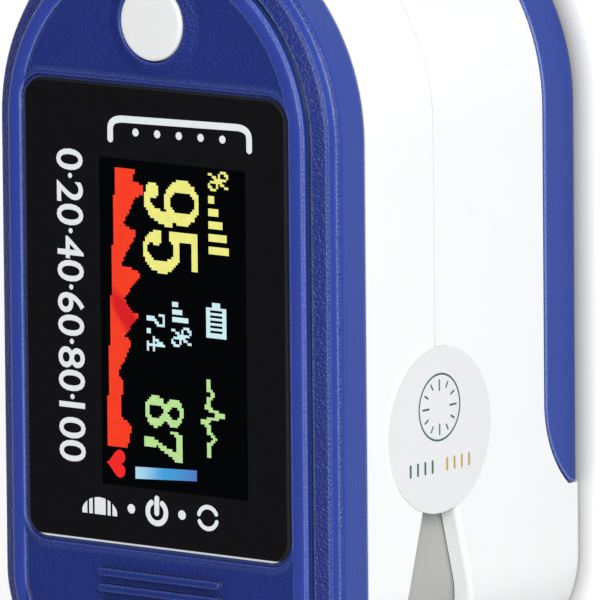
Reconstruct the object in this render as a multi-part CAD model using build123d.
from build123d import *
from math import radians, sqrt, tan
import os

# Fingertip pulse oximeter lying on its back: the display faces +Z, the finger goes in
# at the -Y end and the two pinch tabs are at the +Y end. The origin is at the middle
# of the back. Millimetres.

# ---- driving dimensions --------------------------------------------------------------
WIDTH = 32.0
LENGTH = 59.0
FACE_Z = 31.5            # display window and the bead round it
CORNER_R = 8.6           # plan corners of the pinch end
BEZEL_Z = 26.6           # rear edge of the blue bezel
SEAM_Z = 18.1            # closed seam between the two halves
COVER_Z = 4.4            # upper edge of the blue battery cover
WALL = 1.5

END_R = WIDTH / 2
END_Y = -LENGTH / 2 + END_R          # centre of the finger end's half circle
TAIL_Y = LENGTH / 2
CORNER_Y = TAIL_Y - CORNER_R
CORNER_X = END_R - CORNER_R

PIVOT_Y, PIVOT_Z = 9.2, 17.85        # hinge pin
PIN_R = 0.75
PIN_HALF = 14.1
SPRING_X = 7.8                       # middle of each torsion spring
WIRE_SIDES = 5                       # sides of a spring wire's section
JAW_UP, JAW_DOWN = 16.5, 15.7        # slopes of the two pinch edges, degrees
SKIRT_END = 23.6                     # end of the upper frame's side skirts
UP_EDGE = (15.65, 19.99)             # a point (y, z) on the upper shell's pinch edge
DOWN_EDGE = (15.22, 15.69)           # a point (y, z) on the lower shell's pinch edge
RIM_SOFT = 0.4                       # rounding of the lower pinch edge

WINDOW_W, WINDOW_L, WINDOW_T = 24.66, 34.65, 1.2
WINDOW_Y = 0.55
WINDOW_R = 1.7
FLAT_Z = FACE_Z - 0.2                # flat field of the bezel
RIM_Z = FACE_Z - 0.07                # window, and the rim round it
GROOVE_W, GROOVE_Z = 0.32, FACE_Z - 0.3      # channel between the window and its rim
RIM_W = 0.46
DISPLAY_W, DISPLAY_L = 14.6, 26.6
DISPLAY_X, DISPLAY_Y = -1.65, 0.7

BUTTON_Y, BUTTON_R = -21.75, 2.9
BUTTON_TOP = 31.75
COLLAR_R, COLLAR_Z = 4.25, 31.6      # cone that rises from the bezel to the button

COVER_END_Y = 15.4                   # straight cut of the battery cover
COVER_FLOOR = 1.4
GRIP_Y, GRIP_W, GRIP_L, GRIP_DEPTH = -4.5, 15.0, 9.6, 0.45    # thumb recess under the cover

BAY_X = 10.75                        # half width of the battery bay
BAY_FRONT, BAY_REAR = -21.6, 25.6
CELL_R, CELL_L, CELL_X, CELL_Z = 5.2, 43.3, 5.3, 6.95
NIPPLE_R, NIPPLE_L = 1.9, 1.2
CONTACT_T = 0.3

FRAME_LOW = (12.5, 13.7)             # lower frame plate, z
FRAME_TOP = (23.6, 24.8)             # upper frame plate, z
TROUGH_R = 14.0                      # radius of the finger trough
LOW_FLOOR, TOP_CEILING = 14.9, 22.4  # trough floor and ceiling on the centre line
LIP_LOW, LIP_TOP = 17.8, 18.5        # side lips of the two pads
PAD_X, PAD_REAR = 11.4, 4.2
STOP_Y = 2.5                         # face of the finger stop

BOARD = (26.2, 27.2)                 # main board, z
BOSS_AT = [(-8.0, -19.8), (8.0, -19.8), (-9.5, 22.6), (9.5, 22.6)]
BOSS_R = 1.8
SCREW_R, HEAD_R = 0.8, 1.5
LOW_SCREWS = [(0.0, -25.3), (-13.05, 3.2), (13.05, 3.2)]
SMALL_SCREW_R, SMALL_HEAD_R = 0.55, 1.0

LABEL_R, LABEL_T = 6.3, 0.12
LABEL_AT = (9.18, 17.85)


# ---- shared forms --------------------------------------------------------------------
def outline(inset=0.0):
    """Plan outline: half circle at the finger end, round corners at the pinch end."""
    side = END_R - inset
    corner = CORNER_R - inset
    tail = TAIL_Y - inset
    start = (-side, tail - corner)
    left = JernArc(start=start, tangent=(0, 1), radius=corner, arc_size=-90)
    back = Line(left @ 1, (side - corner, tail))
    right = JernArc(start=back @ 1, tangent=(1, 0), radius=corner, arc_size=-90)
    down = Line(right @ 1, (side, END_Y))
    nose = JernArc(start=down @ 1, tangent=(0, -1), radius=side, arc_size=-180)
    up = Line(nose @ 1, start)
    return make_face([left, back, right, down, nose, up])


def slab(inset, low, high):
    """Solid of the plan outline between two heights."""
    return extrude(Plane.XY.offset(low) * outline(inset), high - low)


def tube(outer, inner, low, high):
    """Wall that follows the plan outline between two insets."""
    return slab(outer, low, high) - slab(inner, low, high)


def block(x, y, z):
    """Box from three (low, high) pairs."""
    size = [b - a for a, b in (x, y, z)]
    centre = [(a + b) / 2 for a, b in (x, y, z)]
    return Pos(*centre) * Box(*size)


def rod(x, y, z, radius):
    """Upright cylinder between the two heights of z."""
    return Pos(x, y, (z[0] + z[1]) / 2) * Cylinder(radius, z[1] - z[0])


def cross_rod(x, y, z, radius):
    """Cylinder along X between the two values of x."""
    middle = Pos((x[0] + x[1]) / 2, y, z)
    return middle * Rot(0, 90, 0) * Cylinder(radius, x[1] - x[0])


def long_rod(x, y, z, radius):
    """Cylinder along Y between the two values of y."""
    middle = Pos(x, (y[0] + y[1]) / 2, z)
    return middle * Rot(90, 0, 0) * Cylinder(radius, y[1] - y[0])


def rounded_block(x, y, z, radius):
    """Box with rounded plan corners."""
    plan = RectangleRounded(x[1] - x[0], y[1] - y[0], radius)
    middle = Pos((x[0] + x[1]) / 2, (y[0] + y[1]) / 2, z[0])
    return extrude(middle * plan, z[1] - z[0])


def side_cut(points, half=20.0):
    """Prism across the width from a closed polygon of (y, z) points."""
    face = Plane.YZ * make_face(Polyline(*points, close=True))
    return extrude(face, half, both=True)


def carried_round(section):
    """Carry a wall section, drawn in X and Z at the side wall, all round the outline."""
    at_nose = Pos(0, END_Y, 0) * section
    at_corner = Pos(0, CORNER_Y, 0) * section
    nose = revolve(at_nose, Axis((0, END_Y, 0), (0, 0, -1)), 180)
    side = extrude(at_nose, CORNER_Y - END_Y, dir=(0, 1, 0))
    corner = revolve(at_corner, Axis((CORNER_X, CORNER_Y, 0), (0, 0, 1)), 90)
    at_tail = Pos(CORNER_X, CORNER_Y, 0) * Rot(0, 0, 90) * Pos(-CORNER_X, 0, 0) * section
    tail = extrude(at_tail, 2 * CORNER_X, dir=(-1, 0, 0))
    half = [side, corner]
    return fuse([nose, tail] + half + [mirror(piece, Plane.YZ) for piece in half])


def fuse(pieces):
    """Union of a list of pieces."""
    whole = pieces[0]
    for piece in pieces[1:]:
        whole = whole + piece
    return whole


def jaw_line(point, slope, shift=0.0):
    """Function z(y) of a pinch edge, moved up by shift."""
    rise = tan(radians(slope))
    return lambda y: point[1] + (y - point[0]) * rise + shift


UP_LINE = jaw_line(UP_EDGE, JAW_UP)
DOWN_LINE = jaw_line(DOWN_EDGE, -JAW_DOWN)


def crossing(line, level):
    """Value of y where a pinch edge crosses a level."""
    return (level - line(0)) / (line(1) - line(0))


def on_rim(edge, line, wall):
    """Whether an edge lies both on a pinch cut and on the outer wall."""
    for part in (0, 0.5, 1):
        point = edge @ part
        height = abs(point.Z - line(point.Y))
        aside = Vertex(point.X, point.Y, 0).distance_to(wall)
        if max(height, aside) > 0.01:
            return False
    return True


def soft_rim(body, line, inset):
    """Round the outer edge of a pinch opening, where thumb and finger press."""
    wall = outline(inset).wire()
    return fillet(body.edges().filter_by(lambda edge: on_rim(edge, line, wall)), RIM_SOFT)


def mouth():
    """Lens-shaped finger mouth between the two halves, cut along Y."""
    low, top = LOW_FLOOR - 0.4, TOP_CEILING + 0.4
    radius = TROUGH_R + 0.4
    middle = (low + top) / 2
    reach = sqrt(radius**2 - (low + radius - middle) ** 2)
    floor = ThreePointArc((-reach, middle), (0, low), (reach, middle))
    roof = ThreePointArc((reach, middle), (0, top), (-reach, middle))
    lens = make_face([floor, roof])
    lens = fillet(lens.vertices(), 1.4)
    return extrude(Plane.XZ.offset(END_R) * lens, 20)


# ---- upper half ----------------------------------------------------------------------
def bezel_section():
    """Section of the bezel's border at the side wall, in X and Z."""
    z = FACE_Z
    inner = END_R - WALL
    lip = WINDOW_W / 2 + GROOVE_W
    inside = Polyline((lip - 0.4, GROOVE_Z), (lip, GROOVE_Z), (lip, RIM_Z - 0.06), (lip + 0.06, RIM_Z))
    bead = ThreePointArc((lip + 0.06, RIM_Z), (13.3, z), (13.82, RIM_Z))
    groove = Polyline((13.82, RIM_Z), (13.97, z - 0.22), (14.0, z - 0.94), (14.18, z - 0.74))
    step = Polyline((14.18, z - 0.74), (15.3, z - 1.14), (15.46, z - 1.3), (15.7, z - 1.84))
    edge = ThreePointArc((15.7, z - 1.84), (15.91, z - 2.03), (END_R, z - 2.3))
    back = Polyline((END_R, z - 2.3), (END_R, BEZEL_Z), (inner, BEZEL_Z), (inner, z - 2.6),
                    (13.2, z - 1.7), (lip - 0.4, z - 1.7), (lip - 0.4, GROOVE_Z))
    return Plane.XZ * make_face([inside, bead, groove, step, edge, back])


def front_bezel():
    """Blue bezel: stepped border with a bead, flat field, window seat, button collar."""
    z = FACE_Z
    low = z - 1.7
    body = carried_round(bezel_section())
    body += slab(END_R - WINDOW_W / 2 - GROOVE_W + 0.2, low, GROOVE_Z)
    body += slab(END_R - 12.9, GROOVE_Z - 0.1, FLAT_Z)
    body += window_rim() + button_collar()
    body += fuse([rod(x, y, (FRAME_TOP[1] + 1.1, z - 1.6), BOSS_R) for x, y in BOSS_AT])
    body += grip_bars(FLAT_Z)
    body -= window_seat()
    body -= rod(0, BUTTON_Y, (low - 1, z + 1), BUTTON_R + 0.12)
    for x, y in BOSS_AT:
        body -= rod(x, y, (FRAME_TOP[1], z - 2.3), SCREW_R + 0.02)
    return body


def window_plan(grow):
    """Plan of the window, grown by a margin."""
    return RectangleRounded(WINDOW_W + 2 * grow, WINDOW_L + 2 * grow, WINDOW_R + grow)


def window_rim():
    """Raised rim that frames the window and runs into the bead at both sides."""
    plan = window_plan(GROOVE_W + RIM_W)
    rim = extrude(Pos(0, WINDOW_Y, GROOVE_Z - 0.1) * plan, RIM_Z - GROOVE_Z + 0.1)
    return chamfer(rim.edges().group_by(Axis.Z)[-1], 0.1)


def window_seat():
    """Channel inside the rim, pocket of the window and the display opening below it."""
    floor = FACE_Z - WINDOW_T
    channel = extrude(Pos(0, WINDOW_Y, GROOVE_Z) * window_plan(GROOVE_W), 1)
    pocket = extrude(Pos(0, WINDOW_Y, floor) * window_plan(0.03), 2)
    opening = rounded_block((-10.6, 10.6), (WINDOW_Y - 15.4, WINDOW_Y + 15.4),
                            (floor - 2, floor + 0.1), 1.0)
    return channel + pocket + opening


def button_collar():
    """Low cone round the button's hole."""
    height = COLLAR_Z - FLAT_Z + 0.1
    return Pos(0, BUTTON_Y, FLAT_Z - 0.1 + height / 2) * Cone(COLLAR_R + 0.3, BUTTON_R + 0.3, height)


def grip_bars(z):
    """Three raised bars for the thumb between the window and the pinch end."""
    bars = []
    for y in (20.1, 21.3, 22.5):
        plan = Pos(0, y, z - 0.1) * SlotOverall(11.6, 0.6)
        bars.append(extrude(plan, 0.34))
    return fuse(bars)


def display_window():
    """Clear acrylic window with a printed border."""
    plan = RectangleRounded(WINDOW_W, WINDOW_L, WINDOW_R)
    body = extrude(Pos(0, WINDOW_Y, FACE_Z - WINDOW_T + 0.02) * plan, WINDOW_T - 0.07)
    top = body.edges().group_by(Axis.Z)[-1]
    return chamfer(top, 0.12)


def display_module():
    """Small colour display panel with a ledge for its driver glass."""
    x, y = DISPLAY_X, DISPLAY_Y
    half_w, half_l = DISPLAY_W / 2, DISPLAY_L / 2
    glass = block((x - half_w, x + half_w), (y - half_l, y + half_l + 3.2), (28.7, 29.5))
    cell = block((x - half_w, x + half_w), (y - half_l, y + half_l), (29.5, 30.25))
    return glass + cell


def display_holder():
    """Plastic tray that holds the display above the board."""
    x, y = DISPLAY_X, DISPLAY_Y
    outer = block((x - 8.3, x + 8.3), (y - 14.3, y + 17.6), (BOARD[1], 29.4))
    inner = block((x - 7.4, x + 7.4), (y - 13.4, y + 16.6), (28.6, 30))
    well = block((x - 6.0, x + 6.0), (y - 12.0, y + 14.5), (26, 28.0))
    return outer - inner - well


def main_board():
    """Main circuit board, with clearance for the four bosses."""
    body = slab(2.9, *BOARD)
    for x, y in BOSS_AT:
        body -= rod(x, y, (BOARD[0] - 1, BOARD[1] + 1), BOSS_R + 0.25)
    return body


def main_chip():
    """Processor package on the underside of the board."""
    body = block((-3.6, 3.6), (8.0, 15.2), (BOARD[0] - 1.1, BOARD[0]))
    return chamfer(body.edges().filter_by(Axis.Z), 0.5)


def tact_switch():
    """Square body of the push switch under the power button."""
    z = BOARD[1]
    body = block((-2.3, 2.3), (BUTTON_Y - 2.3, BUTTON_Y + 2.3), (z, z + 1.3))
    return body - rod(0, BUTTON_Y, (z + 0.5, z + 2), 1.15)


def switch_plunger():
    """Plunger of the push switch."""
    z = BOARD[1]
    return rod(0, BUTTON_Y, (z + 0.95, z + 1.75), 1.05)


def power_button():
    """Round white button: chamfered cap, flange under the bezel and a stem."""
    top, rim = BUTTON_TOP, BUTTON_R
    low = BOARD[1] + 1.77
    flange = FACE_Z - 1.85
    profile = Polyline((0, low), (1.3, low), (1.3, low + 0.25), (3.6, low + 0.25),
                       (3.6, flange), (rim, flange), (rim, top - 0.3), (rim - 0.07, top - 0.12),
                       (rim - 0.25, top - 0.02), (rim - 0.6, top), (0, top), close=True)
    section = Plane.XZ * make_face(profile)
    return Pos(0, BUTTON_Y, 0) * revolve(section, Axis.Z)


def upper_shell():
    """White upper shell: side wall, ledge for the frame, tongue into the bezel."""
    low = SEAM_Z + 0.15
    body = tube(0, WALL, low, BEZEL_Z - 0.1)
    body += tube(WALL - 0.1, 3.0, FRAME_TOP[1] + 0.05, FRAME_TOP[1] + 1.05)
    body += tube(WALL + 0.12, WALL + 0.8, FRAME_TOP[1] + 0.05, BEZEL_Z + 1.1)
    meet = crossing(UP_LINE, low)
    body -= side_cut([(meet, low), (40, UP_LINE(40)), (40, 10), (meet, 10)])
    return body - mouth()


def skirt_edge(y):
    """Lower edge of the upper frame's side skirts, behind the lower shell's wall."""
    return DOWN_LINE(y) - 1.5


def upper_frame():
    """Inner frame of the upper half: plate, side skirts with hinge eyes, screw seats."""
    low, top = FRAME_TOP
    plate = slab(1.8, low, top)
    skirts = tube(1.8, 3.0, 8.0, low + 0.1)
    keep = side_cut([(6.6, PIVOT_Z), (6.6, 30), (SKIRT_END, 30), (SKIRT_END, skirt_edge(SKIRT_END)),
                     (12.4, skirt_edge(12.4)), (PIVOT_Y + 1.2, 15.4), (PIVOT_Y - 1.2, 15.4)])
    body = plate + (skirts & keep)
    for side in (-1, 1):
        ends = sorted((side * 13.0, side * 14.2))
        body += cross_rod(ends, PIVOT_Y, PIVOT_Z, 2.6)
    body += fuse([rod(x, y, (low, top + 1.0), BOSS_R + 0.7) for x, y in BOSS_AT])
    body -= cross_rod((-20, 20), PIVOT_Y, PIVOT_Z, PIN_R + 0.05)
    for x, y in BOSS_AT:
        body -= rod(x, y, (low - 1, top + 2), SCREW_R + 0.1)
        body -= rod(x, y, (low - 1, top - 0.1), HEAD_R + 0.1)
    body -= block((-4.3, 4.3), (-7.3, -0.7), (low - 1, top + 1))
    return body


def finger_pad(low_side):
    """Silicone pad with a finger trough, a rounded mouth, a stop and a sensor window."""
    if low_side:
        floor, lip, back = LOW_FLOOR, LIP_LOW, FRAME_LOW[1]
        centre = floor + TROUGH_R
    else:
        floor, lip, back = TOP_CEILING, LIP_TOP, FRAME_TOP[0]
        centre = floor - TROUGH_R
    z = sorted((back, lip))
    body = slab(2.1, *z) & block((-PAD_X, PAD_X), (-40, PAD_REAR), (0, 40))
    body -= long_rod(0, (-40, STOP_Y), centre, TROUGH_R)
    body -= block((-3.1, 3.1), (-6.1, -1.9), (z[0] - 1, z[1] + 1))
    return body


def sensor_lens(z):
    """Clear window that fills the opening in a pad."""
    body = block((-3.05, 3.05), (-6.05, -1.95), z)
    return fillet(body.edges().filter_by(Axis.Z), 0.4)


def led_board():
    """Carrier board of the red and infrared emitter."""
    return block((-4.2, 4.2), (-7.2, -0.8), (FRAME_TOP[0] + 0.35, FRAME_TOP[1] - 0.1))


def led_emitter():
    """Two-colour emitter package facing the finger."""
    return block((-1.6, 1.6), (-5.4, -2.6), (22.95, FRAME_TOP[0] + 0.35))


def upper_screws():
    """Four self-tapping screws that clamp frame and shell to the bezel."""
    low = FRAME_TOP[1] - 1.1
    screws = []
    for x, y in BOSS_AT:
        head = rod(x, y, (low, low + 0.95), HEAD_R)
        slot = block((x - 0.9, x + 0.9), (y - 0.2, y + 0.2), (low, low + 0.45))
        shank = rod(x, y, (low + 0.9, 28.9), SCREW_R)
        screws.append(head + shank - slot)
    return Compound(children=screws)


def round_label():
    """Round sticker on the left flank, over the hinge."""
    x = -END_R - LABEL_T
    return cross_rod((x, -END_R), *LABEL_AT, LABEL_R)


# ---- lower half ----------------------------------------------------------------------
def cover_side(grow):
    """Side view of the battery cover, grown by a gap: straight, arc, straight cut."""
    top = COVER_Z + grow
    end = COVER_END_Y + grow
    arc = ThreePointArc((8.8, top), (12.69 + 0.7 * grow, 3.55 + 0.7 * grow), (end, 1.37 + grow))
    rest = Polyline((end, 1.37 + grow), (end, -1), (-40, -1), (-40, top), (8.8, top))
    return extrude(Plane.YZ * make_face([arc, rest]), 20, both=True)


def lower_shell():
    """White lower shell: side wall, end cap, battery bay and screw blocks."""
    inset, top = 0.1, SEAM_Z - 0.1
    body = slab(inset, 0, top)
    body = fillet(body.edges().group_by(Axis.Z)[0], 0.5)
    body -= slab(inset + WALL, 1.5, top + 1)
    body -= cover_side(0.15)
    skirt = tube(1.4, 2.0, 1.5, COVER_Z + 2) & block((-20, 20), (-40, 16.2), (0, 8))
    body += skirt + tube(inset + 0.4, 2.0, COVER_Z + 0.25, COVER_Z + 1.5)
    body += battery_bay()
    meet = crossing(DOWN_LINE, top)
    body -= side_cut([(meet, top), (40, DOWN_LINE(40)), (40, 30), (meet, 30)])
    body = soft_rim(body, DOWN_LINE, inset)
    return body - rail_grooves() - mouth()


def battery_bay():
    """Walls round the two cells, with blocks for the three frame screws."""
    top = FRAME_LOW[0] - 0.05
    outer = block((-BAY_X - 0.9, BAY_X + 0.9), (BAY_FRONT - 1.2, BAY_REAR + 1.2), (1.5, top))
    inner = block((-BAY_X, BAY_X), (BAY_FRONT, BAY_REAR), (-1, 20))
    posts = rod(0, LOW_SCREWS[0][1], (1.5, top), 1.9)
    posts += block((-0.7, 0.7), (-28.3, BAY_FRONT - 1.0), (1.5, top))
    for side in (-1, 1):
        x = sorted((side * (BAY_X + 0.8), side * 14.6))
        posts += block(x, (1.2, 5.2), (1.5, top))
    bay = ((outer + posts) & slab(1.4, 0, 20)) - inner
    for x, y in LOW_SCREWS:
        bay -= rod(x, y, (6.0, 20), SMALL_SCREW_R)
    return bay


def both_sides(x, y, z):
    """The same block on the right and, mirrored, on the left."""
    right = block(x, y, z)
    return right + mirror(right, Plane.YZ)


def cover_rails():
    """Two straight ridges inside the battery cover."""
    return both_sides((14.15, 15.0), (-10.0, 7.0), (2.5, 3.1))


def rail_grooves():
    """Grooves of the lower shell that the cover's ridges slide in."""
    gap = 0.15
    return both_sides((14.15 - gap, 14.75), (-40, 7.0 + gap), (2.5 - gap, 3.1 + gap))


def thumb_grip():
    """Shallow recess in the cover's underside with four cross ribs left standing."""
    recess = extrude(Pos(0, GRIP_Y, -1) * SlotOverall(GRIP_W, GRIP_L), 1 + GRIP_DEPTH)
    ribs = []
    for step in (-1.5, -0.5, 0.5, 1.5):
        y = GRIP_Y + 2.0 * step
        ribs.append(block((-4.2, 4.2), (y - 0.3, y + 0.3), (GRIP_DEPTH / 3, 2)))
    return recess - fuse(ribs)


def battery_cover():
    """Blue battery cover: tray that wraps the finger end and slides off along -Y."""
    body = slab(0, 0, COVER_Z) - slab(1.25, COVER_FLOOR, 10)
    bottom = body.edges().filter_by(lambda e: e.center().Z < 0.01)
    body = fillet(bottom, 1.2)
    body = body & cover_side(0)
    body += cover_rails()
    tongue = (-2.2, 2.2)
    body += block(tongue, (COVER_END_Y - 3, COVER_END_Y), (COVER_FLOOR - 0.1, 2.3))
    body += block(tongue, (COVER_END_Y - 0.1, COVER_END_Y + 2.2), (1.6, 2.3))
    return body - thumb_grip()


def lower_frame():
    """Inner frame of the lower half: cell ceiling, hinge ears, finger stop backing."""
    low, top = FRAME_LOW
    plate = slab(1.9, low, top)
    narrow = block((-11.9, 11.9), (-40, 26.0), (low, top))
    wide = block((-20, 20), (-40, 6.2), (low, top))
    body = plate & (narrow + wide)
    for side in (-1, 1):
        x = sorted((side * 11.2, side * 12.6))
        ear = block(x, (PIVOT_Y - 2.6, PIVOT_Y + 2.6), (top - 0.1, PIVOT_Z))
        body += ear + cross_rod(x, PIVOT_Y, PIVOT_Z, 2.6)
    body += block((-10.0, 10.0), (PAD_REAR + 0.05, PAD_REAR + 1.05), (top - 0.1, 18.2))
    body -= cross_rod((-20, 20), PIVOT_Y, PIVOT_Z, PIN_R + 0.01)
    body -= block((-4.3, 4.3), (-7.3, -0.7), (low - 1, top + 1))
    for x, y in LOW_SCREWS:
        body -= rod(x, y, (low - 1, top + 1), SMALL_SCREW_R + 0.1)
        body -= rod(x, y, (top - 0.6, top + 1), SMALL_HEAD_R + 0.1)
    return body


def sensor_board():
    """Carrier board of the light sensor."""
    return block((-4.2, 4.2), (-7.2, -0.8), (FRAME_LOW[0] + 0.1, FRAME_LOW[1] - 0.35))


def photodiode():
    """Light sensor package facing the finger."""
    return block((-2.0, 2.0), (-5.6, -2.4), (FRAME_LOW[1] - 0.35, 14.25))


def lower_screws():
    """Three small screws that hold the lower frame in its shell."""
    top = FRAME_LOW[1]
    screws = []
    for x, y in LOW_SCREWS:
        head = rod(x, y, (top - 0.6, top - 0.02), SMALL_HEAD_R)
        slot = block((x - 0.7, x + 0.7), (y - 0.15, y + 0.15), (top - 0.3, top + 1))
        shank = rod(x, y, (7.5, top - 0.55), SMALL_SCREW_R - 0.02)
        screws.append(head + shank - slot)
    return Compound(children=screws)


def hinge_pin():
    """Steel pin through the ears of both frames."""
    return cross_rod((-PIN_HALF, PIN_HALF), PIVOT_Y, PIVOT_Z, PIN_R)


def torsion_spring(side):
    """Torsion spring on the hinge pin, with one leg to each frame."""
    wire, coil, pitch = 0.32, 1.9, 0.72
    leg_low, leg_top = 13.0, 24.0
    turns = 4 + (180 - leg_top - leg_low) / 360
    helix = Helix(pitch=pitch, height=pitch * turns, radius=coil, lefthand=True)
    section = RegularPolygon(wire, WIRE_SIDES)
    start = Plane(origin=helix @ 0, z_dir=helix % 0) * section
    end = Plane(origin=helix @ 1, z_dir=helix % 1) * section
    spring = sweep(start, path=helix, is_frenet=True)
    spring += extrude(start, 8.6, dir=-(helix % 0)) + extrude(end, 8.9, dir=helix % 1)
    spring = Pos(0, 0, -pitch * turns / 2) * Rot(0, 0, -leg_low) * spring
    return Pos(side * SPRING_X, PIVOT_Y, PIVOT_Z) * Rot(0, 90, 0) * spring


def cell(x, nose):
    """AAA cell with its contact nipple at the end that nose points to."""
    if nose < 0:
        tip = BAY_FRONT + CONTACT_T
        body = (tip + NIPPLE_L, tip + NIPPLE_L + CELL_L)
        knob = (tip, tip + NIPPLE_L + 0.1)
    else:
        tip = BAY_REAR - CONTACT_T
        body = (tip - NIPPLE_L - CELL_L, tip - NIPPLE_L)
        knob = (tip - NIPPLE_L - 0.1, tip)
    can = long_rod(x, body, CELL_Z, CELL_R)
    can = chamfer(can.edges().filter_by(GeomType.CIRCLE), 0.4)
    return can + long_rod(x, knob, CELL_Z, NIPPLE_R)


def contact_plate(x, y, half=4.3):
    """Sprung steel plate against a bay wall."""
    low, high = sorted(y)
    return block((x - half, x + half), (low, high), (2.2, 11.6))


def contact_spring(x, y):
    """Conical coil that presses on a cell's flat end; y runs from plate to cell."""
    wire, turns = 0.25, 3
    length = abs(y[1] - y[0]) - 2 * wire
    helix = Helix(pitch=length / turns, height=length, radius=3.2, cone_angle=-20)
    section = Plane(origin=helix @ 0, z_dir=helix % 0) * RegularPolygon(wire, WIRE_SIDES)
    coil = sweep(section, path=helix, is_frenet=True)
    turn = -90 if y[1] > y[0] else 90
    shift = wire if y[1] > y[0] else -wire
    return Pos(x, y[0] + shift, CELL_Z) * Rot(turn, 0, 0) * coil


def build():
    """Every node by name."""
    t = CONTACT_T
    front_gap = (BAY_FRONT + t, BAY_REAR - t - NIPPLE_L - CELL_L)
    rear_gap = (BAY_REAR - t, BAY_FRONT + t + NIPPLE_L + CELL_L)
    return {
        "front_bezel": front_bezel(),
        "display_window": display_window(),
        "display_module": display_module(),
        "display_holder": display_holder(),
        "main_board": main_board(),
        "main_chip": main_chip(),
        "tact_switch": tact_switch(),
        "switch_plunger": switch_plunger(),
        "power_button": power_button(),
        "upper_shell": upper_shell(),
        "upper_frame": upper_frame(),
        "upper_finger_pad": finger_pad(False),
        "upper_lens": sensor_lens((22.45, 22.95)),
        "led_board": led_board(),
        "led_emitter": led_emitter(),
        "upper_screws": upper_screws(),
        "round_label": round_label(),
        "lower_shell": lower_shell(),
        "lower_frame": lower_frame(),
        "lower_finger_pad": finger_pad(True),
        "lower_lens": sensor_lens((14.25, 14.85)),
        "sensor_board": sensor_board(),
        "photodiode": photodiode(),
        "lower_screws": lower_screws(),
        "hinge_pin": hinge_pin(),
        "torsion_spring_left": torsion_spring(-1),
        "torsion_spring_right": torsion_spring(1),
        "battery_1": cell(-CELL_X, -1),
        "battery_2": cell(CELL_X, 1),
        "positive_contact": contact_plate(-CELL_X, (BAY_FRONT, BAY_FRONT + t)),
        "negative_contact": contact_plate(CELL_X, (BAY_FRONT, BAY_FRONT + t)),
        "link_contact": contact_plate(0, (BAY_REAR - t, BAY_REAR), 9.6),
        "front_contact_spring": contact_spring(CELL_X, front_gap),
        "rear_contact_spring": contact_spring(-CELL_X, rear_gap),
        "battery_cover": battery_cover(),
    }


if __name__ == "__main__":
    os.makedirs("parts", exist_ok=True)
    for name, shape in build().items():
        export_step(shape, f"parts/{name}.step")
